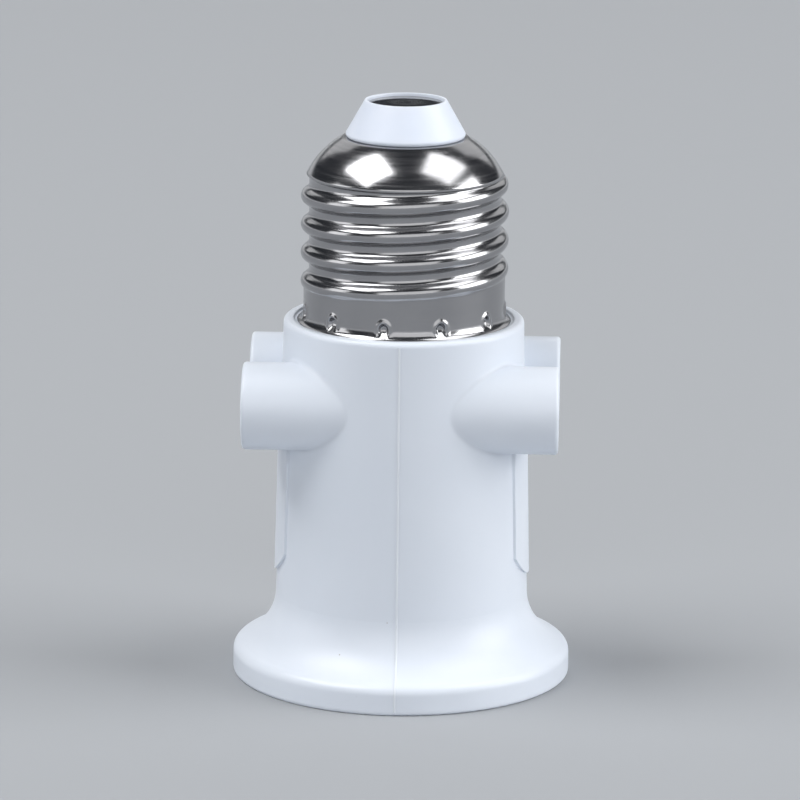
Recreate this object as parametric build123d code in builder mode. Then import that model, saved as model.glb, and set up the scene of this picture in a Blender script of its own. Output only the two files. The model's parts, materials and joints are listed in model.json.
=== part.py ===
from build123d import *
from math import acos, asin, atan, cos, degrees, radians, sin, sqrt, tan
import os

# Screw-in lamp adapter with a lamp socket below and two round-pin outlets at the sides.
# Millimetres, +Z up, origin at the centre of the flange's bottom face, outlets along X.

# Housing outline
body_height = 46.1
barrel_wall = 1.25
body_draft = 1.36
body_top_round = 0.6
flange_radius = 21.5
flange_corner_height = 3.35
flange_corner_round = 1.2
flange_foot_round = 0.35
flange_wall = 2.1
flare_angle = 25
flare_arc = 7.5
arc_fill = 0.95

# Outlet tubes, two on each side
outlet_pitch = 17.0
outlet_drop = 9.8
outlet_reach = 19.8
tube_radius = 5.5
tube_end_round = 0.4
outlet_bore_radius = 2.6
outlet_lead_in = 0.7

# Raised blank pad under each pair of tubes
pad_rise = 0.3
pad_half_width = 6.8
pad_foot_height = 13.2
pad_foot_rise = 3.3

# Rounded lamp thread, shared by the screw cap and the lamp socket
thread_pitch = 25.4 / 7
thread_arc = 1.025
thread_land = 0.05
thread_root_cover = 0.25
thread_runout = 0.25
sheet = 0.35

# Screw cap
cap_thread_radius = 13.1
cap_thread_lift = 4.35
cap_thread_end_gap = 0.75
cap_thread_start_angle = 120
cap_skirt_inset = 0.38
cap_skirt_height = 3.5
cap_skirt_taper = 0.5
cap_skirt_climb = 1.03
cap_climb_inset = 0.02
cap_lip_flare = 0.8
cap_lip_height = 1.5
cap_lip_slope = 0.6
cap_shoulder_height = 18.7
cap_shoulder_rise = 4.7
cap_shoulder_dome = 0.55
cap_top_radius = 7.9
cap_ledge = 1.1
cap_seat_gap = 0.05
cap_recess_depth = 0.3
cap_recess_gap = 0.38

# Staked dents that lock the screw cap on the housing's neck
dent_count = 11
dent_first_angle = 260.5
dent_height = 2.0
dent_radius = 0.9
dent_depth = 0.5
dent_taper = 40

# Insulator and contact at the tip of the cap
insulator_inset = 0.1
insulator_tip_radius = 5.15
insulator_height = 4.7
insulator_base_round = 0.4
insulator_collar_height = 2.3
contact_rim = 0.3
contact_sink = 0.35
contact_thickness = 0.4
contact_stem_radius = 1.5
contact_stem_length = 9.0

# Neck, contact chamber and lamp socket bore
neck_fit = 0.05
neck_height = 6.6
neck_seat_gap = 0.7
neck_bore_radius = 9.0
seat_ledge = 0.6
roof_thickness = 3.8
boss_offset = 9.5
boss_radius = 2.4
boss_rib = 1.6
boss_rib_height = 8.6
boss_root = 0.5

# Lamp socket shell
socket_thread_clearance = 0.25
socket_bore_clearance = 0.25
socket_rim_height = 7.0
socket_end_height = 4.25
socket_floor_hole = 6.2
socket_notch_half_width = 4.0

# Contact carrier and its screws
carrier_thickness = 2.4
carrier_clearance = 0.2
saddle_height = 2.2
strip_half_width = 2.0
screw_radius = 1.25
screw_hole_clearance = 0.15
screw_length = 10.0
screw_head_radius = 2.1
screw_head_height = 1.4
screw_slot_width = 0.6
screw_slot_depth = 0.7

# Contact strips with rolled pin sleeves, and their rivets
strip_thickness = 0.5
sleeve_bore_radius = 2.0
sleeve_slit = 0.8
sleeve_web = 1.7
sleeve_inner_end = 1.7
sleeve_wall_clearance = 0.3
tab_half_width = 1.6
tab_reach = 3.4
rivet_radius = 1.0
rivet_hole_clearance = 0.05
rivet_head_radius = 1.7
rivet_head_height = 0.35

# Spring leaf that meets the lamp's tip
leaf_thickness = 0.45
leaf_half_width = 2.5
leaf_root_overhang = 2.4
leaf_bend_offset = 2.0
leaf_drop = 3.0
leaf_touch_offset = 1.2
leaf_tip_reach = 4.2
leaf_tip_lift = 0.9
leaf_bend_radius = 1.0

# Insulated leads between the cap and the strips
lead_radius = 0.8
lead_offset = 4.6
lead_wall_gap = 0.05
lead_neck_gap = 1.6
lead_bend_height = 3.2
lead_top_gap = 1.6
lead_arc_share = 0.45

# Worked-out sizes
thread_flank = asin(thread_pitch / (4 * thread_arc))
thread_depth = 2 * thread_arc * (1 - cos(thread_flank))
socket_thread_radius = cap_thread_radius + socket_thread_clearance
socket_outer_radius = socket_thread_radius + sheet
socket_bore_radius = socket_outer_radius + socket_bore_clearance
body_top_radius = socket_bore_radius + barrel_wall
chamber_radius = socket_bore_radius - seat_ledge
chamber_top = body_height - roof_thickness
boss_rib_foot = chamber_top - boss_rib_height

draft_slope = tan(radians(body_draft))
flare_slope = tan(radians(flare_angle))
waist_radius = (
    body_top_radius + (body_height - flange_corner_height - flange_radius * flare_slope) * draft_slope
) / (1 - flare_slope * draft_slope)
waist_height = flange_corner_height + (flange_radius - waist_radius) * flare_slope
mouth_radius = flange_radius - flange_wall
half_turn_slope = tan(radians(90 - flare_angle) / 2)
flare_run = (flange_radius - waist_radius) / cos(radians(flare_angle)) - flange_corner_round * half_turn_slope
inner_flare_run = (mouth_radius - socket_bore_radius) / cos(radians(flare_angle))
outer_flare_arc = min(flare_arc, arc_fill * flare_run / half_turn_slope)
inner_flare_arc = min(flare_arc + flange_wall, arc_fill * inner_flare_run / half_turn_slope)

cap_root_radius = cap_thread_radius - thread_depth
cap_skirt_radius = cap_thread_radius - cap_skirt_inset
cap_lip_radius = cap_skirt_radius + cap_lip_flare
cap_mouth_radius = cap_top_radius - cap_ledge
cap_seat_level = body_height - cap_recess_depth
cap_lip_level = cap_seat_level + cap_seat_gap
cap_skirt_top = cap_lip_level + cap_skirt_height
cap_shoulder_level = cap_lip_level + cap_shoulder_height
cap_top_level = cap_shoulder_level + cap_shoulder_rise
cap_shoulder_angle = atan(cap_shoulder_rise / (cap_root_radius - cap_top_radius))
cap_thread_start = cap_lip_level + cap_thread_lift
cap_thread_turns = (cap_shoulder_height - cap_thread_lift - cap_thread_end_gap) / thread_pitch
runout_rise = thread_runout * thread_pitch
runout_cone = degrees(atan((thread_depth + thread_land) / runout_rise))
thread_heading = Helix(thread_pitch, thread_pitch, cap_root_radius) % 0
thread_foot = Plane((cap_root_radius, 0, 0), x_dir=(1, 0, 0), z_dir=thread_heading)
insulator_base_radius = cap_top_radius - insulator_inset
insulator_tip_level = cap_top_level + insulator_height
contact_level = insulator_tip_level - contact_sink
contact_foot_level = contact_level - contact_stem_length

neck_radius = cap_skirt_radius - sheet - neck_fit
neck_upper_radius = cap_root_radius - sheet - neck_fit
dent_level = cap_lip_level + dent_height

outlet_height = body_height - outlet_drop
row_offset = outlet_pitch / 2
strip_level = outlet_height - sleeve_bore_radius - sleeve_web
strip_top = strip_level + strip_thickness
seat_height = strip_level - saddle_height
carrier_level = seat_height - carrier_thickness
socket_floor_level = carrier_level - sheet
socket_step_height = socket_floor_level - socket_end_height
sleeve_outer_radius = sleeve_bore_radius + strip_thickness
sleeve_end = sqrt((chamber_radius - sleeve_wall_clearance) ** 2 - (row_offset + sleeve_outer_radius) ** 2)
rivet_hole_radius = rivet_radius + rivet_hole_clearance
screw_hole_radius = screw_radius + screw_hole_clearance


# Half section of the housing's outside, moved outwards by a raise
def body_outline(raise_by):
    with BuildSketch(Plane.XZ) as outline:
        with BuildLine():
            Polyline(
                (0, 0),
                (flange_radius, 0),
                (flange_radius, flange_corner_height),
                (waist_radius + raise_by, waist_height),
                (body_top_radius + raise_by, body_height),
                (0, body_height),
                close=True,
            )
        make_face()
        for corner, round_off in (
            ((flange_radius, 0), flange_foot_round),
            ((flange_radius, flange_corner_height), flange_corner_round),
            ((waist_radius + raise_by, waist_height), outer_flare_arc),
            ((body_top_radius + raise_by, body_height), body_top_round),
        ):
            fillet(outline.vertices().sort_by_distance(corner)[0], round_off)
    return outline.sketch


# Section of one thread ridge: a crest arc between two root arcs, closed inside the root
def ridge_section(plane):
    foot = acos(1 - 0.5 * thread_land / thread_arc)
    middle = (foot + thread_flank) / 2

    def on_root(angle, side):
        return (thread_arc * (1 - cos(angle)), side * (thread_pitch / 2 - thread_arc * sin(angle)))

    with BuildSketch(plane) as section:
        with BuildLine():
            rise = ThreePointArc(on_root(foot, -1), on_root(middle, -1), on_root(thread_flank, -1))
            crest = ThreePointArc(rise @ 1, (thread_depth, 0), on_root(thread_flank, 1))
            fall = ThreePointArc(crest @ 1, on_root(middle, 1), on_root(foot, 1))
            inner = -thread_root_cover
            Polyline(fall @ 1, (inner, (fall @ 1).Y), (inner, (rise @ 0).Y), rise @ 0)
        make_face()
    return section.sketch


# Sweeps a section up a number of turns of the cap's thread, and then in a cone into the root
def thread_sweep(section, turns):
    climb = Helix(thread_pitch, turns * thread_pitch, cap_root_radius)
    top = Helix(thread_pitch, runout_rise, cap_root_radius, cone_angle=-runout_cone)
    climbed = Location((0, 0, turns * thread_pitch), (0, 0, 360 * turns))
    with BuildPart() as ridge:
        sweep(section, path=climb, is_frenet=True)
        add(sweep(section, path=top, is_frenet=True, mode=Mode.PRIVATE).moved(climbed))
    return ridge.part


# Helical ridge that sinks into the root over part of a turn at both ends
def thread_ridge(turns):
    bottom = Helix(thread_pitch, runout_rise, cap_root_radius, direction=(0, 0, -1), cone_angle=-runout_cone)
    down_heading = (0, thread_heading.Y, -thread_heading.Z)
    down_section = ridge_section(Plane(bottom @ 0, x_dir=(-1, 0, 0), z_dir=down_heading))
    half_turn = Location((0, 0, 0), (0, 0, 180))
    with BuildPart() as ridge:
        add(thread_sweep(ridge_section(thread_foot), turns))
        add(sweep(down_section, path=bottom, is_frenet=True, mode=Mode.PRIVATE).moved(half_turn))
    return ridge.part


# Skirt wall that climbs under the thread's first turn, so that the skirt runs up to the first crest
def skirt_climb():
    wall = cap_skirt_radius - cap_climb_inset - cap_root_radius + thread_root_cover
    with BuildSketch(thread_foot) as section:
        with Locations((-thread_root_cover, 0)):
            Rectangle(wall, cap_skirt_climb * thread_pitch, align=Align.MIN)
    return thread_sweep(section.sketch, 1)


# Places around the cap's skirt, each looking in at the axis
def dent_places(radius):
    places = []
    for step in range(dent_count):
        angle = radians(dent_first_angle + step * 360 / dent_count)
        outward = Vector(cos(angle), sin(angle), 0)
        places.append(Plane(outward * radius + Vector(0, 0, dent_level), z_dir=-outward))
    return places


# Raised pads: the housing's outline grown by the pad's rise, kept inside the pad's own outline
with BuildPart() as pads:
    pad_arch_height = pad_foot_height + pad_foot_rise
    with BuildSketch(Plane.YZ):
        with BuildLine():
            arch = ThreePointArc(
                (-pad_half_width, pad_arch_height), (0, pad_foot_height), (pad_half_width, pad_arch_height)
            )
            Polyline(arch @ 1, (pad_half_width, outlet_height), (-pad_half_width, outlet_height), arch @ 0)
        make_face()
    extrude(amount=flange_radius, both=True)
    revolve(body_outline(pad_rise), axis=Axis.Z, mode=Mode.INTERSECT)

# Housing: one moulding with barrel, flare, flange, four tubes, two pads and the cap's neck
with BuildPart() as housing:
    revolve(body_outline(0), axis=Axis.Z)
    add(pads.part)
    with BuildSketch(Plane.YZ.offset(-outlet_reach)):
        with Locations((-row_offset, outlet_height), (row_offset, outlet_height)):
            Circle(tube_radius)
    extrude(amount=2 * outlet_reach)
    tube_ends = housing.edges(Select.LAST).filter_by(GeomType.CIRCLE).group_by(Axis.X)
    fillet(tube_ends[0] + tube_ends[-1], tube_end_round)

    # Shallow recess that takes the cap's lip, and the neck that stands in it
    with BuildSketch(Plane.XY.offset(cap_seat_level)):
        Circle(cap_lip_radius + cap_recess_gap)
    extrude(amount=cap_recess_depth, mode=Mode.SUBTRACT)
    with BuildSketch(Plane.XY.offset(cap_seat_level)):
        Circle(neck_radius)
    extrude(amount=cap_skirt_top - cap_seat_level - neck_seat_gap)
    with BuildSketch(Plane.XY.offset(cap_seat_level)):
        Circle(neck_upper_radius)
    extrude(amount=cap_recess_depth + neck_height)

    # Hollow from the mouth up: flange inside, socket bore, carrier seat, chamber and neck
    inner_corner_height = flange_corner_height - flange_wall / cos(radians(flare_angle))
    inner_waist_height = inner_corner_height + (flange_radius - socket_bore_radius) * flare_slope
    with BuildSketch(Plane.XZ) as hollow:
        with BuildLine():
            Polyline(
                (0, 0),
                (mouth_radius, 0),
                (mouth_radius, inner_corner_height + flange_wall * flare_slope),
                (socket_bore_radius, inner_waist_height),
                (socket_bore_radius, seat_height),
                (chamber_radius, seat_height),
                (chamber_radius, chamber_top),
                (neck_bore_radius, chamber_top),
                (neck_bore_radius, body_height + neck_height),
                (0, body_height + neck_height),
                close=True,
            )
        make_face()
        fillet(
            hollow.vertices().sort_by_distance((socket_bore_radius, inner_waist_height))[0],
            inner_flare_arc,
        )
    revolve(axis=Axis.Z, mode=Mode.SUBTRACT)

    # Screw bosses that hang from the chamber's roof, each with a rib to the wall
    with BuildSketch(Plane.XY.offset(seat_height)):
        with Locations((-boss_offset, 0), (boss_offset, 0)):
            Circle(boss_radius)
    extrude(amount=chamber_top - seat_height + boss_root)
    with BuildSketch(Plane.XY.offset(boss_rib_foot)):
        rib_middle = (boss_offset + body_top_radius) / 2
        with Locations((-rib_middle, 0), (rib_middle, 0)):
            Rectangle(body_top_radius - boss_offset, boss_rib)
    extrude(amount=chamber_top - boss_rib_foot + boss_root)
    with BuildSketch(Plane.XY.offset(seat_height)):
        with Locations((-boss_offset, 0), (boss_offset, 0)):
            Circle(screw_radius)
    extrude(amount=screw_length - carrier_thickness - sheet, mode=Mode.SUBTRACT)

    # Pin bores with a lead-in, and dimples that take the cap's dents
    with BuildSketch(Plane.YZ.offset(-outlet_reach)):
        with Locations((-row_offset, outlet_height), (row_offset, outlet_height)):
            Circle(outlet_bore_radius)
    extrude(amount=2 * outlet_reach, mode=Mode.SUBTRACT)
    mouths = housing.edges(Select.LAST).filter_by(GeomType.CIRCLE).group_by(Axis.X)
    chamfer(mouths[0] + mouths[-1], outlet_lead_in)
    with BuildSketch(*dent_places(cap_skirt_radius - sheet)):
        RegularPolygon(dent_radius, side_count=4)
    extrude(amount=dent_depth + neck_fit, taper=dent_taper, mode=Mode.SUBTRACT)

housing.part.label = "housing"


# Half section of the screw cap's sheet, outside (inset 0) or inside (inset one sheet)
def cap_section(inset):
    shoulder_drop = inset / cos(cap_shoulder_angle)
    corner_drop = inset * tan(cap_shoulder_angle / 2)
    shoulder_foot = Vector(cap_root_radius - inset + thread_land, cap_shoulder_level - corner_drop)
    shoulder_top = Vector(cap_top_radius, cap_top_level - shoulder_drop)
    shoulder_out = Vector(sin(cap_shoulder_angle), cos(cap_shoulder_angle))
    dome = (shoulder_foot + shoulder_top) / 2 + shoulder_out * cap_shoulder_dome
    with BuildSketch(Plane.XZ) as section:
        with BuildLine():
            lip = Spline(
                (cap_lip_radius - inset, cap_lip_level),
                (cap_skirt_radius - inset, cap_lip_level + cap_lip_height),
                tangents=((-1, cap_lip_slope), (0, 1)),
            )
            Polyline(
                lip @ 1,
                (cap_skirt_radius - inset, cap_skirt_top - inset),
                (shoulder_foot.X, cap_skirt_top + cap_skirt_taper - inset),
                shoulder_foot,
            )
            ThreePointArc(shoulder_foot, dome, shoulder_top)
            Polyline(shoulder_top, (0, shoulder_top.Y), (0, cap_lip_level), lip @ 0)
        make_face()
    return section.sketch


# Screw cap: sheet shell with the male thread, staked skirt and turned-out lip
with BuildPart() as screw_cap_shell:
    revolve(cap_section(0), axis=Axis.Z)
    thread_place = Location((0, 0, cap_thread_start), (0, 0, cap_thread_start_angle))
    add(thread_ridge(cap_thread_turns).moved(thread_place))
    add(skirt_climb().moved(thread_place))
    revolve(cap_section(sheet), axis=Axis.Z, mode=Mode.SUBTRACT)
    with BuildSketch(Plane.XY.offset(cap_lip_level)):
        Circle(cap_mouth_radius)
    extrude(amount=cap_top_level, mode=Mode.SUBTRACT)
    with BuildSketch(*dent_places(cap_skirt_radius - sheet)):
        RegularPolygon(dent_radius - neck_fit, side_count=4)
    extrude(amount=dent_depth, taper=dent_taper)
    with BuildSketch(*dent_places(cap_skirt_radius)):
        RegularPolygon(dent_radius - neck_fit, side_count=4)
    extrude(amount=dent_depth, taper=dent_taper, mode=Mode.SUBTRACT)

screw_cap_shell.part.label = "screw_cap_shell"

# Insulator at the cap's tip: frustum outside, collar inside, hole for the contact's stem
with BuildPart() as cap_insulator:
    collar_top = cap_top_level - sheet / cos(cap_shoulder_angle) - neck_fit
    with BuildSketch(Plane.XZ) as section:
        with BuildLine():
            Polyline(
                (0, collar_top - insulator_collar_height),
                (insulator_base_radius, collar_top - insulator_collar_height),
                (insulator_base_radius, collar_top),
                (cap_mouth_radius - neck_fit, collar_top),
                (cap_mouth_radius - neck_fit, cap_top_level),
                (insulator_base_radius, cap_top_level),
                (insulator_tip_radius, insulator_tip_level),
                (0, insulator_tip_level),
                close=True,
            )
        make_face()
        fillet(
            section.vertices().sort_by_distance((insulator_base_radius, cap_top_level))[0], insulator_base_round
        )
    revolve(axis=Axis.Z)
    with BuildSketch(Plane.XY.offset(insulator_tip_level)):
        Circle(insulator_tip_radius - contact_rim)
    extrude(amount=-contact_sink - contact_thickness, mode=Mode.SUBTRACT)
    with BuildSketch(Plane.XY.offset(insulator_tip_level)):
        Circle(contact_stem_radius + neck_fit)
    extrude(amount=-contact_stem_length - contact_sink, mode=Mode.SUBTRACT)

cap_insulator.part.label = "cap_insulator"

# Contact disc with its stem
with BuildPart() as cap_contact:
    with BuildSketch(Plane.XY.offset(contact_level)):
        Circle(insulator_tip_radius - contact_rim - neck_fit)
    extrude(amount=-contact_thickness)
    with BuildSketch(Plane.XY.offset(contact_level)):
        Circle(contact_stem_radius)
    extrude(amount=-contact_stem_length)
    fillet(cap_contact.edges().filter_by(GeomType.CIRCLE).group_by(Axis.Z)[-1], contact_thickness / 2)

cap_contact.part.label = "cap_contact"

# Lamp socket shell: sheet cup with a wide screwed part, a narrower end and a floor under the carrier
with BuildPart() as lamp_socket_shell:
    socket_step = thread_depth
    step_drop = sheet * (sqrt(2) - 1)
    with BuildSketch(Plane.XZ):
        with BuildLine():
            Polyline(
                (socket_outer_radius, socket_rim_height),
                (socket_outer_radius, socket_step_height + step_drop),
                (socket_outer_radius - socket_step, socket_step_height + step_drop + socket_step),
                (socket_outer_radius - socket_step, carrier_level),
                (socket_floor_hole, carrier_level),
                (socket_floor_hole, socket_floor_level),
                (socket_thread_radius - socket_step, socket_floor_level),
                (socket_thread_radius - socket_step, socket_step_height + socket_step),
                (socket_thread_radius, socket_step_height),
                (socket_thread_radius, socket_rim_height),
                close=True,
            )
        make_face()
    revolve(axis=Axis.Z)
    with BuildSketch(Plane.XY.offset(socket_floor_level)):
        with Locations((0, -socket_thread_radius / 2)):
            Rectangle(2 * socket_notch_half_width, socket_thread_radius)
        with Locations((-boss_offset, 0), (boss_offset, 0)):
            Circle(screw_hole_radius)
        with Locations((0, row_offset)):
            Circle(rivet_hole_radius)
    extrude(amount=sheet, mode=Mode.SUBTRACT)

lamp_socket_shell.part.label = "lamp_socket_shell"

# Contact carrier: disc with a saddle under each strip
with BuildPart() as contact_carrier:
    with BuildSketch(Plane.XY.offset(carrier_level)):
        Circle(socket_bore_radius - carrier_clearance)
    extrude(amount=carrier_thickness)
    with BuildSketch(Plane.XY.offset(seat_height)):
        with Locations((0, -row_offset), (0, row_offset)):
            Rectangle(2 * sleeve_end, 2 * strip_half_width)
    extrude(amount=saddle_height)
    with BuildSketch(Plane.XY.offset(carrier_level)):
        with Locations((-boss_offset, 0), (boss_offset, 0)):
            Circle(screw_hole_radius)
        with Locations((0, -row_offset), (0, row_offset)):
            Circle(rivet_hole_radius)
    extrude(amount=carrier_thickness + saddle_height, mode=Mode.SUBTRACT)

contact_carrier.part.label = "contact_carrier"


# Contact strip: flat bar with a solder tab and a slit sleeve standing on a web at each end
def contact_strip(side):
    row = side * row_offset
    with BuildPart() as strip:
        with BuildSketch(Plane.XY.offset(strip_level)):
            with Locations((0, row)):
                Rectangle(2 * sleeve_end, 2 * strip_half_width)
            tab_length = row_offset - tab_reach
            with Locations((0, side * (tab_reach + tab_length / 2))):
                Rectangle(2 * tab_half_width, tab_length)
            with Locations((0, row)):
                Circle(rivet_hole_radius, mode=Mode.SUBTRACT)
        extrude(amount=strip_thickness)
        web_height = outlet_height - sleeve_bore_radius - strip_level
        for start in (-sleeve_end, sleeve_inner_end):
            with BuildSketch(Plane.YZ.offset(start)):
                with Locations((row, outlet_height)):
                    Circle(sleeve_outer_radius)
                    with Locations((0, -sleeve_bore_radius - web_height / 2)):
                        Rectangle(strip_thickness, web_height)
                    Circle(sleeve_bore_radius, mode=Mode.SUBTRACT)
                    with Locations((0, sleeve_outer_radius)):
                        Rectangle(sleeve_slit, 2 * strip_thickness + sleeve_slit, mode=Mode.SUBTRACT)
            extrude(amount=sleeve_end - sleeve_inner_end)
    return strip.part


live_contact_strip = contact_strip(-1)
live_contact_strip.label = "live_contact_strip"
neutral_contact_strip = contact_strip(1)
neutral_contact_strip.label = "neutral_contact_strip"

# Spring leaf: flat under the carrier, then down to the lamp's tip, with a turned-up end
with BuildPart() as centre_contact:
    leaf_middle = carrier_level - leaf_thickness / 2
    with BuildSketch(Plane.YZ.offset(-leaf_half_width)):
        with BuildLine() as spine:
            FilletPolyline(
                (-row_offset - leaf_root_overhang, leaf_middle),
                (-row_offset + leaf_bend_offset, leaf_middle),
                (leaf_touch_offset, leaf_middle - leaf_drop),
                (leaf_tip_reach, leaf_middle - leaf_drop + leaf_tip_lift),
                radius=leaf_bend_radius,
            )
        trace(spine.line, line_width=leaf_thickness)
    extrude(amount=2 * leaf_half_width)
    with BuildSketch(Plane.XY.offset(carrier_level)):
        with Locations((0, -row_offset)):
            Circle(rivet_hole_radius)
    extrude(amount=-leaf_thickness, mode=Mode.SUBTRACT)

centre_contact.part.label = "centre_contact"


# Rivet from under the carrier to the top of a strip
def rivet(side, foot_level):
    with BuildPart() as body:
        with BuildSketch(Plane.XY.offset(foot_level)):
            with Locations((0, side * row_offset)):
                Circle(rivet_radius)
        extrude(amount=strip_top - foot_level)
        with BuildSketch(Plane.XY.offset(strip_top)):
            with Locations((0, side * row_offset)):
                Circle(rivet_head_radius)
        extrude(amount=rivet_head_height)
        with BuildSketch(Plane.XY.offset(foot_level)):
            with Locations((0, side * row_offset)):
                Circle(rivet_head_radius)
        extrude(amount=-rivet_head_height)
    return body.part


live_rivet = rivet(-1, carrier_level - leaf_thickness)
live_rivet.label = "live_rivet"
neutral_rivet = rivet(1, socket_floor_level)
neutral_rivet.label = "neutral_rivet"

# Slotted screws that clamp shell and carrier to the bosses
with BuildPart() as carrier_screws:
    with Locations((-boss_offset, 0, socket_floor_level), (boss_offset, 0, socket_floor_level)):
        Cylinder(screw_radius, screw_length - screw_head_height, align=(Align.CENTER, Align.CENTER, Align.MIN))
        Cylinder(screw_head_radius, screw_head_height, align=(Align.CENTER, Align.CENTER, Align.MAX))
        with Locations((0, 0, -screw_head_height)):
            Box(
                2 * screw_head_radius,
                screw_slot_width,
                screw_slot_depth,
                align=(Align.CENTER, Align.CENTER, Align.MIN),
                mode=Mode.SUBTRACT,
            )

carrier_screws.part.label = "carrier_screws"


# Round lead along straight runs joined by arcs as large as the runs allow
def lead(*points):
    radii = []
    for before, corner, after in zip(points, points[1:], points[2:]):
        arrive = Vector(*corner) - Vector(*before)
        leave = Vector(*after) - Vector(*corner)
        turn = radians(arrive.get_angle(leave))
        radii.append(lead_arc_share * min(arrive.length, leave.length) / tan(turn / 2))
    with BuildPart() as wire:
        with BuildLine() as route:
            FilletPolyline(*points, radius=radii)
        with BuildSketch(Plane(route.line @ 0, z_dir=route.line % 0)):
            Circle(lead_radius)
        sweep(path=route.line)
    print("lead arc radii", [round(radius, 1) for radius in radii])
    return wire.part


live_lead = lead(
    (0, 0, contact_foot_level),
    (0, 0, body_height + neck_height),
    (0, -lead_offset, body_height),
    (0, -lead_offset, strip_top),
)
live_lead.label = "live_lead"
wall_offset = cap_root_radius + thread_land - sheet - lead_wall_gap - lead_radius
neutral_lead = lead(
    (0, lead_offset, strip_top),
    (0, lead_offset, body_height),
    (0, neck_bore_radius - lead_neck_gap, body_height + neck_height),
    (0, wall_offset, body_height + neck_height + lead_bend_height),
    (0, wall_offset, cap_shoulder_level - lead_top_gap),
)
neutral_lead.label = "neutral_lead"

pieces = (
    housing.part,
    screw_cap_shell.part,
    cap_insulator.part,
    cap_contact.part,
    lamp_socket_shell.part,
    contact_carrier.part,
    centre_contact.part,
    live_contact_strip,
    neutral_contact_strip,
    live_rivet,
    neutral_rivet,
    carrier_screws.part,
    live_lead,
    neutral_lead,
)
os.makedirs("parts", exist_ok=True)
for piece in pieces:
    export_step(piece, f"parts/{piece.label}.step")
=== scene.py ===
import json
from math import asin, cos, exp, pi, radians, sin, sqrt

import bpy
from mathutils import Matrix, Vector
from mathutils.bvhtree import BVHTree


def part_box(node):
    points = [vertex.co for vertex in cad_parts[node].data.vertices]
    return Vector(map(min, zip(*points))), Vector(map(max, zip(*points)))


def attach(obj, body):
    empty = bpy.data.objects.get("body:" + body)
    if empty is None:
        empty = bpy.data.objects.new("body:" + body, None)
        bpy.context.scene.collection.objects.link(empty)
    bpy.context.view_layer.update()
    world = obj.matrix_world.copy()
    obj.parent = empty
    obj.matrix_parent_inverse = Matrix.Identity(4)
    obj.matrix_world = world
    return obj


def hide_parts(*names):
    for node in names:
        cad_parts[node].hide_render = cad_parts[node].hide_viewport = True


mm = 0.001  # the frame is in metres, sizes here are in millimetres

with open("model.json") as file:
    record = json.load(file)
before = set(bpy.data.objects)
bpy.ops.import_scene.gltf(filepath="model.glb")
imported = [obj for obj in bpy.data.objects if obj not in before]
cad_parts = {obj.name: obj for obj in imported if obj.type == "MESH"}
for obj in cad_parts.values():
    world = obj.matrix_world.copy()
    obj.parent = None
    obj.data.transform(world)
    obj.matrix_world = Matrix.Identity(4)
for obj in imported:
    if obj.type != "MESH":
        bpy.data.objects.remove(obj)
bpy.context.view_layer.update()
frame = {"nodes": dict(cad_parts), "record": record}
nodes = frame["nodes"]
print("frame loaded:", len(nodes), "nodes")


def linear(hexColour):  # sRGB hex to linear RGBA
    channels = []
    for start in (1, 3, 5):
        value = int(hexColour[start:start + 2], 16) / 255
        if value <= 0.04045:
            channels.append(value / 12.92)
        else:
            channels.append(((value + 0.055) / 1.055) ** 2.4)
    return (*channels, 1.0)


def perMetre(size):  # pattern scale for a feature of this size in millimetres
    return 1 / (size * mm)


# A setting goes to the socket of that name or number, and otherwise to the node itself
def addNode(tree, kind, settings=None, links=None):
    node = tree.nodes.new(kind)
    for name, value in (settings or {}).items():
        if isinstance(name, int) or name in node.inputs:
            node.inputs[name].default_value = value
        else:
            setattr(node, name, value)
    for name, source in (links or {}).items():
        tree.links.new(source, node.inputs[name])
    return node


def newMaterial(name):
    material = bpy.data.materials.new(name)
    material.use_nodes = True
    material.node_tree.nodes.clear()
    return material, material.node_tree


def finishMaterial(tree, settings, links):
    shader = addNode(tree, "ShaderNodeBsdfPrincipled", settings, links)
    addNode(tree, "ShaderNodeOutputMaterial", {}, {"Surface": shader.outputs["BSDF"]})


# Injection-moulded ABS: satin and slightly cool, with the faint grain of an eroded mould
whiteAbs = {
    "colours": ("#e2e8f1", "#dae1eb"),
    "flashHighlightColours": ("#e7ecf3", "#dfe5ee"),  # lighter than the housing: a painted highlight along the raised line
    "speckColour": "#98928c",
    "roughness": (0.34, 0.44),
    "refraction": 1.53,
    "scatter": 0.12,  # share of the light that spreads inside the plastic
    "scatterDepth": 0.8,
    "scatterRadius": (1.0, 1.0, 1.0),  # alike for each colour, so thin edges stay white
    "flowSize": 14.0,
    "grainSize": 0.3,  # the real grain is about 0.03, drawn coarser so that it shows
    "grainDepth": 0.0012,
    "waveSize": 9.0,  # sink and flow waviness of a thin moulding
    "waveDepth": 0.006,
    "speckCell": 6.0,
    "speckSize": 0.13,
    "cornerRound": 0.5,  # what the mould leaves in its corners
    "cornerSamples": 12,
    "blends": (  # wide where the outlet tubes leave the barrel, and close to none round the low pads
        {"round": 0.9, "height": 36.3, "heightFade": (6.2, 8.2), "reachFade": (15.5, 17.5)},
        {"round": 0.06, "height": 18.0, "heightFade": (9.0, 11.0), "reachFade": (18.0, 19.0)},
    ),
}


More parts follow.
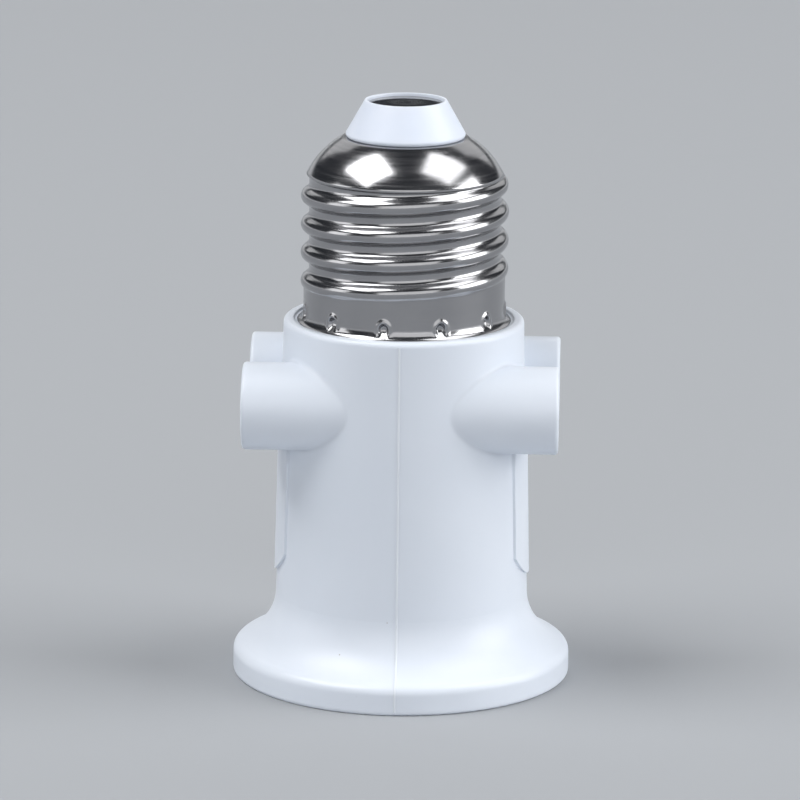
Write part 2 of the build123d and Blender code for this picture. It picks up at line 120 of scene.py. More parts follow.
# Radius of the rounded corners over the housing, which passes into each blend near its place
def cornerRadius(tree, place):
    look = whiteAbs
    spot = addNode(tree, "ShaderNodeSeparateXYZ", {}, {"Vector": place})
    radiusSoFar = {}
    for blend in look["blends"]:
        fromMiddle = addNode(tree, "ShaderNodeMath", {"operation": "SUBTRACT", 1: blend["height"] * mm}, {
            0: spot.outputs["Z"],
        })
        shares = []
        for distance, (near, far) in (
            (fromMiddle.outputs["Value"], blend["heightFade"]),
            (spot.outputs["X"], blend["reachFade"]),
        ):
            away = addNode(tree, "ShaderNodeMath", {"operation": "ABSOLUTE"}, {0: distance})
            shares.append(addNode(tree, "ShaderNodeMapRange", {
                "From Min": far * mm, "From Max": near * mm,
            }, {"Value": away.outputs["Value"]}))
        share = addNode(tree, "ShaderNodeMath", {"operation": "MULTIPLY"}, {
            0: shares[0].outputs["Result"], 1: shares[1].outputs["Result"],
        })
        radius = addNode(tree, "ShaderNodeMapRange", {
            "To Min": look["cornerRound"] * mm, "To Max": blend["round"] * mm,
        }, {"Value": share.outputs["Value"], **radiusSoFar})
        radiusSoFar = {"To Min": radius.outputs["Result"]}
    return radius.outputs["Result"]


def mouldedWhiteAbs(name, colours, rounded):
    look = whiteAbs
    material, tree = newMaterial(name)
    place = addNode(tree, "ShaderNodeTexCoord").outputs["Object"]
    flow = addNode(tree, "ShaderNodeTexNoise", {
        "Scale": perMetre(look["flowSize"]), "Detail": 3.0,
    }, {"Vector": place})
    tone = addNode(tree, "ShaderNodeMixRGB", {
        "Color1": linear(colours[0]), "Color2": linear(colours[1]),
    }, {"Fac": flow.outputs["Fac"]})
    cells = addNode(tree, "ShaderNodeTexVoronoi", {"Scale": perMetre(look["speckCell"])}, {"Vector": place})
    speckEdge = look["speckSize"] / look["speckCell"]
    speck = addNode(tree, "ShaderNodeMapRange", {
        "From Min": speckEdge, "From Max": speckEdge / 2,
    }, {"Value": cells.outputs["Distance"]})
    colour = addNode(tree, "ShaderNodeMixRGB", {"Color2": linear(look["speckColour"])}, {
        "Fac": speck.outputs["Result"], "Color1": tone.outputs["Color"],
    })
    sheen = addNode(tree, "ShaderNodeMapRange", {
        "To Min": look["roughness"][0], "To Max": look["roughness"][1],
    }, {"Value": flow.outputs["Fac"]})
    waves = addNode(tree, "ShaderNodeTexNoise", {
        "Scale": perMetre(look["waveSize"]), "Detail": 1.0,
    }, {"Vector": place})
    wavy = addNode(tree, "ShaderNodeBump", {"Distance": look["waveDepth"] * mm}, {
        "Height": waves.outputs["Fac"],
    })
    if rounded:
        corners = addNode(tree, "ShaderNodeBevel", {"samples": look["cornerSamples"]}, {
            "Radius": cornerRadius(tree, place),
        })
        tree.links.new(corners.outputs["Normal"], wavy.inputs["Normal"])
    grain = addNode(tree, "ShaderNodeTexNoise", {
        "Scale": perMetre(look["grainSize"]), "Detail": 2.0,
    }, {"Vector": place})
    grainy = addNode(tree, "ShaderNodeBump", {"Distance": look["grainDepth"] * mm}, {
        "Height": grain.outputs["Fac"], "Normal": wavy.outputs["Normal"],
    })
    finishMaterial(tree, {
        "IOR": look["refraction"],
        "Subsurface Weight": look["scatter"],
        "Subsurface Scale": look["scatterDepth"] * mm,
        "Subsurface Radius": look["scatterRadius"],
    }, {
        "Base Color": colour.outputs["Color"],
        "Roughness": sheen.outputs["Result"],
        "Normal": grainy.outputs["Normal"],
    })
    return material


# Moulded PBT: whiter and a little more translucent than the housing, with a smooth skin
whitePbt = {
    "colour": "#e3e9f5",
    "flowColour": "#dbe3f1",
    "roughness": (0.36, 0.46),
    "refraction": 1.55,
    "scatter": 0.25,
    "scatterDepth": 1.2,
    "scatterRadius": (1.0, 1.0, 1.0),
    "flowSize": 5.0,
    "grainSize": 0.25,
    "grainDepth": 0.0008,
    "cornerRound": 0.25,
    "cornerSamples": 8,
}


def mouldedWhitePbt():
    look = whitePbt
    material, tree = newMaterial("moulded white PBT")
    place = addNode(tree, "ShaderNodeTexCoord").outputs["Object"]
    flow = addNode(tree, "ShaderNodeTexNoise", {
        "Scale": perMetre(look["flowSize"]), "Detail": 3.0,
    }, {"Vector": place})
    tone = addNode(tree, "ShaderNodeMixRGB", {
        "Color1": linear(look["colour"]), "Color2": linear(look["flowColour"]),
    }, {"Fac": flow.outputs["Fac"]})
    sheen = addNode(tree, "ShaderNodeMapRange", {
        "To Min": look["roughness"][0], "To Max": look["roughness"][1],
    }, {"Value": flow.outputs["Fac"]})
    corners = addNode(tree, "ShaderNodeBevel", {
        "samples": look["cornerSamples"], "Radius": look["cornerRound"] * mm,
    })
    grain = addNode(tree, "ShaderNodeTexNoise", {
        "Scale": perMetre(look["grainSize"]), "Detail": 2.0,
    }, {"Vector": place})
    grainy = addNode(tree, "ShaderNodeBump", {"Distance": look["grainDepth"] * mm}, {
        "Height": grain.outputs["Fac"], "Normal": corners.outputs["Normal"],
    })
    finishMaterial(tree, {
        "IOR": look["refraction"],
        "Subsurface Weight": look["scatter"],
        "Subsurface Scale": look["scatterDepth"] * mm,
        "Subsurface Radius": look["scatterRadius"],
    }, {
        "Base Color": tone.outputs["Color"],
        "Roughness": sheen.outputs["Result"],
        "Normal": grainy.outputs["Normal"],
    })
    return material


# Bright nickel on rolled sheet: a soft mirror, streaked around the axis where the rollers ran
nickelPlate = {
    "colour": "#afafb0",
    "stainColour": "#9f9fa2",
    "roughness": (0.13, 0.24),
    "stainSize": 6.0,
    "streakLength": 7.0,
    "streakWidth": 0.16,
    "streakDepth": 0.0006,
    "streakRange": (0.3, 0.7),  # part of the pattern that the roughness follows
}


def brightNickelPlate():
    look = nickelPlate
    material, tree = newMaterial("rolled bright nickel plate")
    place = addNode(tree, "ShaderNodeTexCoord").outputs["Object"]
    stain = addNode(tree, "ShaderNodeTexNoise", {
        "Scale": perMetre(look["stainSize"]), "Detail": 4.0,
    }, {"Vector": place})
    tone = addNode(tree, "ShaderNodeMixRGB", {
        "Color1": linear(look["colour"]), "Color2": linear(look["stainColour"]),
    }, {"Fac": stain.outputs["Fac"]})
    along = perMetre(look["streakLength"])
    stretched = addNode(tree, "ShaderNodeVectorMath", {
        "operation": "MULTIPLY", 1: (along, along, perMetre(look["streakWidth"])),
    }, {0: place})
    streaks = addNode(tree, "ShaderNodeTexNoise", {"Scale": 1.0, "Detail": 3.0}, {
        "Vector": stretched.outputs["Vector"],
    })
    sheen = addNode(tree, "ShaderNodeMapRange", {
        "From Min": look["streakRange"][0], "From Max": look["streakRange"][1],
        "To Min": look["roughness"][0], "To Max": look["roughness"][1],
    }, {"Value": streaks.outputs["Fac"]})
    rolled = addNode(tree, "ShaderNodeBump", {"Distance": look["streakDepth"] * mm}, {
        "Height": streaks.outputs["Fac"],
    })
    finishMaterial(tree, {"Metallic": 1.0}, {
        "Base Color": tone.outputs["Color"],
        "Roughness": sheen.outputs["Result"],
        "Normal": rolled.outputs["Normal"],
    })
    return material


# Plated contact disc: flat pressed sheet, so it mirrors evenly, with rubbed rings from use
contactPlate = {
    "colour": "#a9a9aa",
    "rubbedColour": "#929294",
    "roughness": (0.07, 0.13),
    "ringSpacing": 2.8274,
    "ringWobble": 3.0,
    "grainSize": 0.2,
    "grainDepth": 0.0008,
}


def rubbedContactPlate():
    look = contactPlate
    material, tree = newMaterial("rubbed nickel contact plate")
    place = addNode(tree, "ShaderNodeTexCoord").outputs["Object"]
    waveLength = 2 * pi / 20  # the wave texture's own spacing at a scale of 1
    rings = addNode(tree, "ShaderNodeTexWave", {
        "wave_type": "RINGS", "rings_direction": "Z",
        "Scale": perMetre(look["ringSpacing"]) * waveLength,
        "Distortion": look["ringWobble"], "Detail": 3.0, "Detail Scale": 2.0,
    }, {"Vector": place})
    tone = addNode(tree, "ShaderNodeMixRGB", {
        "Color1": linear(look["colour"]), "Color2": linear(look["rubbedColour"]),
    }, {"Fac": rings.outputs["Fac"]})
    sheen = addNode(tree, "ShaderNodeMapRange", {
        "To Min": look["roughness"][0], "To Max": look["roughness"][1],
    }, {"Value": rings.outputs["Fac"]})
    grain = addNode(tree, "ShaderNodeTexNoise", {
        "Scale": perMetre(look["grainSize"]), "Detail": 2.0,
    }, {"Vector": place})
    grainy = addNode(tree, "ShaderNodeBump", {"Distance": look["grainDepth"] * mm}, {
        "Height": grain.outputs["Fac"],
    })
    finishMaterial(tree, {"Metallic": 1.0}, {
        "Base Color": tone.outputs["Color"],
        "Roughness": sheen.outputs["Result"],
        "Normal": grainy.outputs["Normal"],
    })
    return material


# Stamped brass strip: warm, dull mirror with rolling lines and a light brown tarnish
brassStrip = {
    "colour": "#d2ab62",
    "tarnishColour": "#a8803f",
    "roughness": (0.22, 0.38),
    "tarnishSize": 3.0,
    "tarnishRange": (0.4, 0.75),  # part of the pattern from clean to fully tarnished
    "lineLength": 6.0,
    "lineWidth": 0.12,
    "lineDepth": 0.001,
}


def stampedBrass():
    look = brassStrip
    material, tree = newMaterial("stamped brass strip")
    place = addNode(tree, "ShaderNodeTexCoord").outputs["Object"]
    tarnish = addNode(tree, "ShaderNodeTexNoise", {
        "Scale": perMetre(look["tarnishSize"]), "Detail": 5.0,
    }, {"Vector": place})
    patches = addNode(tree, "ShaderNodeMapRange", {
        "From Min": look["tarnishRange"][0], "From Max": look["tarnishRange"][1],
    }, {"Value": tarnish.outputs["Fac"]})
    tone = addNode(tree, "ShaderNodeMixRGB", {
        "Color1": linear(look["colour"]), "Color2": linear(look["tarnishColour"]),
    }, {"Fac": patches.outputs["Result"]})
    across = perMetre(look["lineWidth"])
    stretched = addNode(tree, "ShaderNodeVectorMath", {
        "operation": "MULTIPLY", 1: (perMetre(look["lineLength"]), across, across),
    }, {0: place})
    lines = addNode(tree, "ShaderNodeTexNoise", {"Scale": 1.0, "Detail": 2.0}, {
        "Vector": stretched.outputs["Vector"],
    })
    sheen = addNode(tree, "ShaderNodeMapRange", {
        "To Min": look["roughness"][0], "To Max": look["roughness"][1],
    }, {"Value": lines.outputs["Fac"]})
    lined = addNode(tree, "ShaderNodeBump", {"Distance": look["lineDepth"] * mm}, {
        "Height": lines.outputs["Fac"],
    })
    finishMaterial(tree, {"Metallic": 1.0}, {
        "Base Color": tone.outputs["Color"],
        "Roughness": sheen.outputs["Result"],
        "Normal": lined.outputs["Normal"],
    })
    return material


# Pressed urea: hard and ivory white, with a dull skin and mottled filler
ivoryUrea = {
    "colour": "#e2dfd3",
    "fillerColour": "#d3cebd",
    "roughness": (0.45, 0.6),
    "refraction": 1.55,
    "fillerSize": 0.8,
    "skinSize": 0.25,
    "skinDepth": 0.003,
}


def pressedUrea():
    look = ivoryUrea
    material, tree = newMaterial("pressed urea")
    place = addNode(tree, "ShaderNodeTexCoord").outputs["Object"]
    filler = addNode(tree, "ShaderNodeTexNoise", {
        "Scale": perMetre(look["fillerSize"]), "Detail": 4.0,
    }, {"Vector": place})
    tone = addNode(tree, "ShaderNodeMixRGB", {
        "Color1": linear(look["colour"]), "Color2": linear(look["fillerColour"]),
    }, {"Fac": filler.outputs["Fac"]})
    sheen = addNode(tree, "ShaderNodeMapRange", {
        "To Min": look["roughness"][0], "To Max": look["roughness"][1],
    }, {"Value": filler.outputs["Fac"]})
    skin = addNode(tree, "ShaderNodeTexNoise", {
        "Scale": perMetre(look["skinSize"]), "Detail": 2.0,
    }, {"Vector": place})
    rough = addNode(tree, "ShaderNodeBump", {"Distance": look["skinDepth"] * mm}, {
        "Height": skin.outputs["Fac"],
    })
    finishMaterial(tree, {"IOR": look["refraction"]}, {
        "Base Color": tone.outputs["Color"],
        "Roughness": sheen.outputs["Result"],
        "Normal": rough.outputs["Normal"],
    })
    return material


# Zinc-plated steel: grey and slightly blue, frosted by the plating's fine crystals
zincSteel = {
    "colour": "#b4b7bb",
    "crystalColour": "#9a9ea4",
    "roughness": (0.28, 0.45),
    "crystalSize": 0.35,
    "crystalDepth": 0.002,
}


def zincPlatedSteel():
    look = zincSteel
    material, tree = newMaterial("zinc-plated steel")
    place = addNode(tree, "ShaderNodeTexCoord").outputs["Object"]
    crystals = addNode(tree, "ShaderNodeTexVoronoi", {"Scale": perMetre(look["crystalSize"])}, {
        "Vector": place,
    })
    tone = addNode(tree, "ShaderNodeMixRGB", {
        "Color1": linear(look["colour"]), "Color2": linear(look["crystalColour"]),
    }, {"Fac": crystals.outputs["Distance"]})
    sheen = addNode(tree, "ShaderNodeMapRange", {
        "To Min": look["roughness"][0], "To Max": look["roughness"][1],
    }, {"Value": crystals.outputs["Distance"]})
    frosted = addNode(tree, "ShaderNodeBump", {"Distance": look["crystalDepth"] * mm}, {
        "Height": crystals.outputs["Distance"],
    })
    finishMaterial(tree, {"Metallic": 1.0}, {
        "Base Color": tone.outputs["Color"],
        "Roughness": sheen.outputs["Result"],
        "Normal": frosted.outputs["Normal"],
    })
    return material


# Extruded PVC on the leads: dull gloss with a faintly uneven skin and pigment
leadPvc = {
    "liveColours": ("#6b3a20", "#5c2f18"),
    "neutralColours": ("#2a4f9c", "#234486"),
    "roughness": (0.38, 0.52),
    "refraction": 1.53,
    "pigmentSize": 1.5,
    "skinSize": 0.2,
    "skinDepth": 0.0015,
}


def extrudedPvc(name, colours):
    look = leadPvc
    material, tree = newMaterial(name)
    place = addNode(tree, "ShaderNodeTexCoord").outputs["Object"]
    pigment = addNode(tree, "ShaderNodeTexNoise", {
        "Scale": perMetre(look["pigmentSize"]), "Detail": 3.0,
    }, {"Vector": place})
    tone = addNode(tree, "ShaderNodeMixRGB", {
        "Color1": linear(colours[0]), "Color2": linear(colours[1]),
    }, {"Fac": pigment.outputs["Fac"]})
    sheen = addNode(tree, "ShaderNodeMapRange", {
        "To Min": look["roughness"][0], "To Max": look["roughness"][1],
    }, {"Value": pigment.outputs["Fac"]})
    skin = addNode(tree, "ShaderNodeTexNoise", {
        "Scale": perMetre(look["skinSize"]), "Detail": 2.0,
    }, {"Vector": place})
    drawn = addNode(tree, "ShaderNodeBump", {"Distance": look["skinDepth"] * mm}, {
        "Height": skin.outputs["Fac"],
    })
    finishMaterial(tree, {"IOR": look["refraction"]}, {
        "Base Color": tone.outputs["Color"],
        "Roughness": sheen.outputs["Result"],
        "Normal": drawn.outputs["Normal"],
    })
    return material


slotMaterials = {
    "white_plastic": mouldedWhiteAbs("moulded white ABS", whiteAbs["colours"], True),
    "insulator_plastic": mouldedWhitePbt(),
    "nickel_plate": brightNickelPlate(),
    "contact_plate": rubbedContactPlate(),
    "brass": stampedBrass(),
    "carrier_plastic": pressedUrea(),
    "screw_steel": zincPlatedSteel(),
    "live_insulation": extrudedPvc("extruded brown PVC", leadPvc["liveColours"]),
    "neutral_insulation": extrudedPvc("extruded blue PVC", leadPvc["neutralColours"]),
}
for subpart in frame["record"]["subparts"]:
    nodeMesh = nodes[subpart["node"]].data
    nodeMesh.materials.clear()
    nodeMesh.materials.append(slotMaterials[subpart["material_slot"]])


def addPiece(name, points, faces, material):  # points in millimetres; smooth, riding on the one body
    mesh = bpy.data.meshes.new(name)
    mesh.from_pydata([Vector(point) * mm for point in points], [], faces)
    mesh.shade_smooth()
    mesh.materials.append(material)
    piece = bpy.data.objects.new(name, mesh)
    bpy.context.scene.collection.objects.link(piece)
    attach(piece, "root")
    return piece


def addSheet(piece, thickness, offset):  # offset -1 thickens behind the faces, 1 in front of them
    sheet = piece.modifiers.new("sheet", "SOLIDIFY")
    sheet.thickness = thickness * mm
    sheet.offset = offset
    sheet.use_even_offset = True


# Turns a half section of (radius, height) rows about Z; radiusAt lets a row vary round its ring
def turnedSheet(section, radiusAt, angles):
    points = []
    columns = len(angles)
    for rowRadius, height in section:
        for angle in angles:
            radius = radiusAt(rowRadius, height, angle)
            points.append((radius * cos(angle), radius * sin(angle), height))
    faces = []
    for row in range(len(section) - 1):
        for column in range(columns):
            low = row * columns + column
            lowNext = row * columns + (column + 1) % columns
            faces.append((low, lowNext, lowNext + columns, low + columns))
    return points, faces


def between(start, end, count):  # points on a straight run, its end left to the next run
    return [tuple(a + (b - a) * step / count for a, b in zip(start, end)) for step in range(count)]


def smooth(share):  # soft step from 0 to 1
    share = min(max(share, 0.0), 1.0)
    return share * share * (3 - 2 * share)


# Rounded lamp-cap thread: crest and root arcs of one radius that meet at their flanks
lampThread = {
    "pitch": 25.4 / 7,
    "arc": 1.025,
}
flankDrop = lampThread["arc"] - sqrt(lampThread["arc"] ** 2 - (lampThread["pitch"] / 4) ** 2)
lampThread["depth"] = 2 * flankDrop


def threadRise(offset):  # height over the root at this distance along the axis from a crest
    pitch, arc = lampThread["pitch"], lampThread["arc"]
    offset = abs(offset)
    if offset <= pitch / 4:
        return lampThread["depth"] - arc + sqrt(arc ** 2 - offset ** 2)
    if offset <= pitch / 2:
        return arc - sqrt(arc ** 2 - (pitch / 2 - offset) ** 2)
    return 0.0


# Screw cap as the rolled sheet that it is: the thread on both faces, and arched staked dents
screwCap = {
    "lipHeight": 1.5,
    "lipInward": (1.0, 0.25, 0.0, 0.0),  # control points of the lip's curve, as shares of its flare
    "lipRise": (0.0, 0.15, 0.55, 1.0),  # and as shares of its height
    "lipRows": 14,
    "skirtRadius": 12.72,
    "skirtClimb": 1.03,  # share of a pitch that the skirt fills under the thread's first turn
    "skirtHeight": 3.5,
    "skirtTaper": 0.5,
    "taperRows": 4,
    "shoulderHeight": 18.7,
    "shoulderDome": 0.5,
    "domeRows": 20,
    "shoulderLedge": 0.35,  # the shoulder overhangs the wall by this
    "ledgeHeight": 0.3,
    "ledgeRows": 3,
    "topRadius": 7.9,
    "mouthRadius": 6.8,
    "mouthRows": 2,
    "sheet": 0.35,
    "crestRadius": 13.1,
    "threadLift": 4.35,
    "threadAngle": 120,
    "threadEndGap": 1.15,
    "runout": 0.25,
    "wallLand": 0.05,
    "dentCount": 11,
    "dentAngle": 260.5,
    "dentHeight": 1.25,  # where the dent's arch springs
    "dentHalfWidth": 0.7,
    "dentRise": 0.9,
    "dentDrop": 1.0,
    "dentDepth": 0.4,
    "dentEdge": 0.5,  # share of the dent's reach, and so are the burr's place and width
    "dentBurr": 0.17,
    "dentBurrPlace": 1.2,
    "dentBurrWidth": 0.28,
    "columns": 374,
    "gather": 0.6,  # how closely the columns gather at the dents
    "rowHeight": 0.22,
    "dentRowHeight": 0.12,
}
capLow, capHigh = (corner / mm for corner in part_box("screw_cap_shell"))
screwCap["lipRadius"] = capHigh.x
screwCap["rootRadius"] = screwCap["crestRadius"] - lampThread["depth"]
screwCap["wallRadius"] = screwCap["rootRadius"] + screwCap["wallLand"]
threadRun = screwCap["shoulderHeight"] - screwCap["threadLift"] - screwCap["threadEndGap"]
screwCap["turns"] = threadRun / lampThread["pitch"]


def capRadius(rowRadius, height, angle):
    cap = screwCap
    pitch = lampThread["pitch"]
    radius = rowRadius
    firstTurn = (angle - radians(cap["threadAngle"])) / (2 * pi)
    fullSink = lampThread["depth"] + cap["wallLand"]  # the run-outs sink the thread into the wall
    for turn in range(-1, int(cap["turns"]) + 3):
        done = firstTurn + turn
        beyond = max(-done, done - cap["turns"], 0.0)
        if beyond >= cap["runout"]:
            continue
        crestHeight = capLow.z + cap["threadLift"] + pitch * done
        if done < 1 + cap["runout"] and 0 <= crestHeight - height <= cap["skirtClimb"] * pitch:
            climbSunk = fullSink * max(0.0, done - 1) / cap["runout"]
            radius = max(radius, cap["skirtRadius"] - climbSunk)
        if abs(height - crestHeight) > pitch / 2:
            continue
        sunk = fullSink * beyond / cap["runout"]
        radius = max(radius, cap["rootRadius"] + threadRise(height - crestHeight) - sunk)
    dentStep = 2 * pi / cap["dentCount"]
    fromDent = (angle - radians(cap["dentAngle"])) % dentStep
    around = min(fromDent, dentStep - fromDent) * cap["skirtRadius"]
    up = height - capLow.z - cap["dentHeight"]
    # Each dent is an arch that is open towards the lip, with metal pushed up along its edge
    reach = sqrt((around / cap["dentHalfWidth"]) ** 2 + (max(up, 0.0) / cap["dentRise"]) ** 2)
    fade = smooth((up + cap["dentDrop"]) / cap["dentDrop"])
    radius -= fade * cap["dentDepth"] * smooth((1 - reach) / cap["dentEdge"])
    radius += fade * cap["dentBurr"] * exp(-((reach - cap["dentBurrPlace"]) / cap["dentBurrWidth"]) ** 2)
    return radius


def capSection():
    cap = screwCap
    flare = cap["lipRadius"] - cap["skirtRadius"]
    section = []
    for row in range(cap["lipRows"]):  # cubic that leaves the rim on a slope and ends upright
        t = row / cap["lipRows"]
        weights = ((1 - t) ** 3, 3 * (1 - t) ** 2 * t, 3 * (1 - t) * t ** 2, t ** 3)
        inward = flare * sum(weight * share for weight, share in zip(weights, cap["lipInward"]))
        rise = cap["lipHeight"] * sum(weight * share for weight, share in zip(weights, cap["lipRise"]))
        section.append((cap["skirtRadius"] + inward, capLow.z + rise))
    lipTop = (cap["skirtRadius"], capLow.z + cap["lipHeight"])
    skirtTop = (cap["skirtRadius"], capLow.z + cap["skirtHeight"])
    wallFoot = (cap["wallRadius"], skirtTop[1] + cap["skirtTaper"])
    wallTop = (cap["wallRadius"], capLow.z + cap["shoulderHeight"] - cap["ledgeHeight"])
    ledge = (cap["wallRadius"] + cap["shoulderLedge"], capLow.z + cap["shoulderHeight"])
    shoulderTop = (cap["topRadius"], capHigh.z)
    mouth = (cap["mouthRadius"], capHigh.z)
    skirtRows = round((cap["skirtHeight"] - cap["lipHeight"]) / cap["dentRowHeight"])
    wallRows = round((wallTop[1] - wallFoot[1]) / cap["rowHeight"])
    section += between(lipTop, skirtTop, skirtRows)
    section += between(skirtTop, wallFoot, cap["taperRows"])
    section += between(wallFoot, wallTop, wallRows)
    section += between(wallTop, ledge, cap["ledgeRows"])
    coneIn, coneUp = ledge[0] - shoulderTop[0], shoulderTop[1] - ledge[1]
    coneLength = sqrt(coneIn ** 2 + coneUp ** 2)
    for row, (radius, height) in enumerate(between(ledge, shoulderTop, cap["domeRows"])):
        share = row / cap["domeRows"]
        swell = cap["shoulderDome"] * 4 * share * (1 - share)  # most in the middle of the cone
        section.append((radius + swell * coneUp / coneLength, height + swell * coneIn / coneLength))
    section += between(shoulderTop, mouth, cap["mouthRows"])
    section.append(mouth)
    return section


def capAngles():
    cap = screwCap
    angles = []
    for column in range(cap["columns"]):
        even = 2 * pi * column / cap["columns"]
        swing = sin(cap["dentCount"] * (even - radians(cap["dentAngle"])))
        angles.append(even - cap["gather"] * swing / cap["dentCount"])
    return angles


capPoints, capFaces = turnedSheet(capSection(), capRadius, capAngles())
rolledCap = addPiece("rolled_screw_cap", capPoints, capFaces, slotMaterials["nickel_plate"])
addSheet(rolledCap, screwCap["sheet"], -1)
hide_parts("screw_cap_shell")
print("screw cap:", len(rolledCap.data.polygons), "faces before its thickness")

# Lamp socket shell with the rolled thread that takes the lamp
lampSocket = {
    "stepHeight": 23.4,
    "majorRadius": 13.35,
    "sheet": 0.35,
    "floorHole": 6.2,
    "notchHalfWidth": 4.0,
    "floorRows": 6,
    "stepRows": 3,
    "neckRows": 4,
    "columns": 192,
    "rowHeight": 0.3,
}
socketLow, socketHigh = (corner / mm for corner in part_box("lamp_socket_shell"))
lampSocket["minorRadius"] = lampSocket["majorRadius"] - lampThread["depth"]
lampSocket["floorHeight"] = socketHigh.z - lampSocket["sheet"]


def socketRadius(rowRadius, height, angle):
    if rowRadius < lampSocket["majorRadius"]:
        return rowRadius
    turns = (height - socketLow.z) / lampThread["pitch"] - angle / (2 * pi)
    offset = (turns - round(turns)) * lampThread["pitch"]
    return lampSocket["minorRadius"] + threadRise(offset)


def socketSection():
    shell = lampSocket
    rim = (shell["majorRadius"], socketLow.z)
    step = (shell["majorRadius"], shell["stepHeight"])
    neckFoot = (shell["minorRadius"], shell["stepHeight"] + lampThread["depth"])
    neckTop = (shell["minorRadius"], shell["floorHeight"])
    section = between(rim, step, round((step[1] - rim[1]) / shell["rowHeight"]))
    section += between(step, neckFoot, shell["stepRows"])
    section += between(neckFoot, neckTop, shell["neckRows"])
    section.append(neckTop)
    return section


def socketFloor(first):  # ring with a straight-sided notch at the front, where the spring leaf passes
    shell = lampSocket
    columns = shell["columns"]
    points = []
    faces = []
    for row in range(shell["floorRows"] + 1):
        share = row / shell["floorRows"]
        radius = shell["minorRadius"] + (shell["floorHole"] - shell["minorRadius"]) * share
        notch = asin(shell["notchHalfWidth"] / radius)
        for column in range(columns + 1):
            angle = notch - pi / 2 + 2 * (pi - notch) * column / columns
            points.append((radius * cos(angle), radius * sin(angle), shell["floorHeight"]))
            if row and column:
                corner = first + len(points) - 1
                faces.append((corner - columns - 2, corner - columns - 1, corner, corner - 1))
    return points, faces


ringAngles = [2 * pi * column / lampSocket["columns"] for column in range(lampSocket["columns"])]
wallPoints, wallFaces = turnedSheet(socketSection(), socketRadius, ringAngles)
floorPoints, floorFaces = socketFloor(len(wallPoints))
rolledSocket = addPiece(
    "rolled_lamp_socket", wallPoints + floorPoints, wallFaces + floorFaces,
    slotMaterials["nickel_plate"],
)
addSheet(rolledSocket, lampSocket["sheet"], 1)
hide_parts("lamp_socket_shell")
print("lamp socket:", len(rolledSocket.data.polygons), "faces before its thickness")

# Parting line: the thin raised line where the mould's halves met, front and back
partingLine = {
    "width": 0.36,
    "height": 0.09,
    "crown": 0.1,  # flat top of the line
    "sink": 0.03,
    "sharpAngle": 60,
    "footGap": 0.45,
    "topGap": 0.5,
    "capRecess": 0.25,  # the cap's lip stands this far under the body's top
    "rows": 240,
}


def addPartingLine(name, side, material):
    line = partingLine
    housing = BVHTree.FromObject(nodes["housing"], bpy.context.evaluated_depsgraph_get())
    wellOutside = side * 2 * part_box("housing")[1].y
    foot = line["footGap"]
    top = capLow.z + line["capRecess"] - line["topGap"]
    half = line["width"] / 2
    crown = line["crown"] / 2
    profile = [
        (-half, -line["sink"]),
        (-crown, line["height"]),
        (crown, line["height"]),
        (half, -line["sink"]),
    ]
    points = []
    for row in range(line["rows"] + 1):
        height = foot + (top - foot) * row / line["rows"]
        start = Vector((0, wellOutside, height * mm))
        spot, normal = housing.ray_cast(start, Vector((0, -side, 0)))[:2]
        outward = Vector((0, normal.y, normal.z)).normalized()
        for across, proud in profile:
            points.append(spot / mm + Vector((side * across, 0, 0)) + outward * proud)
    count = len(profile)
    lastRow = line["rows"] * count
    faces = [tuple(range(count)), tuple(reversed(range(lastRow, lastRow + count)))]
    for low in range(0, lastRow, count):
        for corner in range(count):
            nextCorner = (corner + 1) % count
            faces.append((low + nextCorner, low + corner, low + count + corner, low + count + nextCorner))
    strip = addPiece(name, points, faces, material)
    strip.data.set_sharp_from_angle(angle=radians(line["sharpAngle"]))


# Same plastic as the housing, in a lighter colour that paints the line's highlight, without the rounding
# that would blur so fine a line
flashHighlightMaterial = mouldedWhiteAbs("moulded white ABS flash with painted highlight", whiteAbs["flashHighlightColours"], False)
addPartingLine("front_parting_line", -1, flashHighlightMaterial)
addPartingLine("back_parting_line", 1, flashHighlightMaterial)
print("parting lines done")

# Studio: pale floor, a softbox high and a panel low at each side, a fill in front and behind, a dim room
studio = {
    "floorColour": "#a2a5a9",
    "floorRoughness": 0.8,
    "floorRadius": 3.0,  # in metres, as are the softboxes
    "floorCorners": 96,
    "boxes": {
        "left softbox": {
            "azimuth": -77, "elevation": 60, "distance": 3.0, "width": 2.0, "height": 1.6, "power": 64,
        },
        "right softbox": {
            "azimuth": 90, "elevation": 60, "distance": 3.0, "width": 2.0, "height": 1.6, "power": 32,
        },
        "left low panel": {
            "azimuth": -80, "elevation": 18, "distance": 3.0, "width": 1.4, "height": 1.4, "power": 11,
        },
        "right low panel": {
            "azimuth": 85, "elevation": 20, "distance": 3.0, "width": 2.0, "height": 1.8, "power": 54,
        },
        "front fill": {
            "azimuth": 5, "elevation": 22, "distance": 3.6, "width": 4.6, "height": 2.2, "power": 38,
        },
        "back fill": {
            "azimuth": 180, "elevation": 32, "distance": 3.6, "width": 4.6, "height": 2.2, "power": 24,
        },
    },
    "roomColour": "#3a3d42",
    "horizonColour": "#d8dadd",
    "bandTop": (5.5, 8),  # degrees over the horizon where the pale band starts and ends its fade
}


def addFloor():
    corners = studio["floorCorners"]
    ring = []
    for corner in range(corners):
        angle = 2 * pi * corner / corners
        ring.append(Vector((cos(angle), sin(angle), 0)) * studio["floorRadius"])
    mesh = bpy.data.meshes.new("studio_floor")
    mesh.from_pydata(ring, [], [tuple(range(corners))])
    material, tree = newMaterial("matt paper floor")
    finishMaterial(tree, {
        "Base Color": linear(studio["floorColour"]), "Roughness": studio["floorRoughness"],
    }, {})
    mesh.materials.append(material)
    paper = bpy.data.objects.new("studio_floor", mesh)
    bpy.context.scene.collection.objects.link(paper)


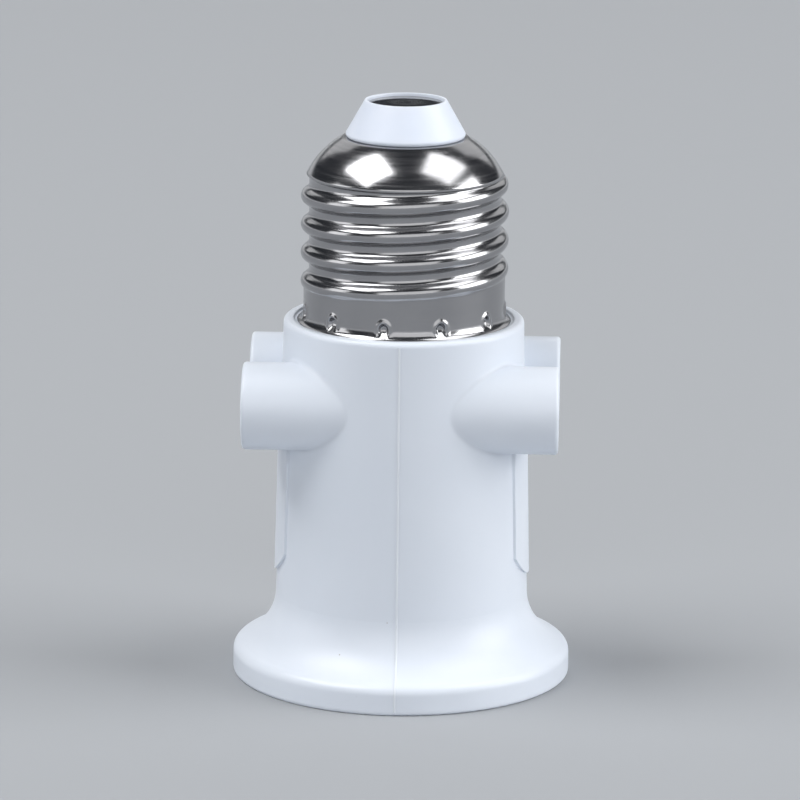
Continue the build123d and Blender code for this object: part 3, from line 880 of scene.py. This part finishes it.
def directionTo(azimuth, elevation):  # degrees round from the front and up from the floor
    azimuth, elevation = radians(azimuth), radians(elevation)
    return Vector((sin(azimuth) * cos(elevation), -cos(azimuth) * cos(elevation), sin(elevation)))


def addSoftbox(name, box):
    lamp = bpy.data.lights.new(name, "AREA")
    lamp.shape = "RECTANGLE"
    lamp.size = box["width"]
    lamp.size_y = box["height"]
    lamp.energy = box["power"]
    softbox = bpy.data.objects.new(name, lamp)
    toBox = directionTo(box["azimuth"], box["elevation"])
    softbox.location = toBox * box["distance"]
    softbox.rotation_euler = toBox.to_track_quat("Z", "Y").to_euler()
    bpy.context.scene.collection.objects.link(softbox)


def addRoom():
    world = bpy.data.worlds.new("studio room")
    bpy.context.scene.world = world
    world.use_nodes = True
    tree = world.node_tree
    tree.nodes.clear()
    direction = addNode(tree, "ShaderNodeTexCoord")
    parts = addNode(tree, "ShaderNodeSeparateXYZ", {}, {"Vector": direction.outputs["Generated"]})
    fadeStart, fadeEnd = (sin(radians(angle)) for angle in studio["bandTop"])
    fade = addNode(tree, "ShaderNodeMapRange", {"From Min": fadeStart, "From Max": fadeEnd}, {
        "Value": parts.outputs["Z"],
    })
    colour = addNode(tree, "ShaderNodeMixRGB", {
        "Color1": linear(studio["horizonColour"]), "Color2": linear(studio["roomColour"]),
    }, {"Fac": fade.outputs["Result"]})
    background = addNode(tree, "ShaderNodeBackground", {}, {"Color": colour.outputs["Color"]})
    addNode(tree, "ShaderNodeOutputWorld", {}, {"Surface": background.outputs["Background"]})


addFloor()
for boxName, softboxFacts in studio["boxes"].items():
    addSoftbox(boxName, softboxFacts)
addRoom()
print("studio lit by", len(studio["boxes"]), "softboxes")

# Camera fitted to the photograph's flange, tubes, cap and insulator
photoCamera = {
    "target": (0, 0, 38),
    "distance": 622.4,
    "elevation": 13.435,
    "azimuth": 2.03,
    "roll": 0.535,
    "imageSize": 800,
    "focalPixels": 4908.6,
    "principalPoint": (403.4, 379.15),
    "sensor": 36.0,
    "clipStart": 50,
}


def addCamera():
    view = photoCamera
    lens = bpy.data.cameras.new("photo camera")
    lens.sensor_width = view["sensor"]
    lens.lens = view["focalPixels"] / view["imageSize"] * view["sensor"]
    centre = view["imageSize"] / 2
    lens.shift_x = (centre - view["principalPoint"][0]) / view["imageSize"]
    lens.shift_y = (view["principalPoint"][1] - centre) / view["imageSize"]
    lens.clip_start = view["clipStart"] * mm
    camera = bpy.data.objects.new("photo camera", lens)
    outward = directionTo(view["azimuth"], view["elevation"])
    facing = outward.to_track_quat("Z", "Y").to_matrix().to_4x4()
    place = Matrix.Translation((Vector(view["target"]) + outward * view["distance"]) * mm)
    camera.matrix_world = place @ facing @ Matrix.Rotation(radians(view["roll"]), 4, "Z")
    bpy.context.scene.collection.objects.link(camera)
    bpy.context.scene.camera = camera


addCamera()
bpy.context.scene.view_settings.view_transform = "Standard"
print("camera placed")
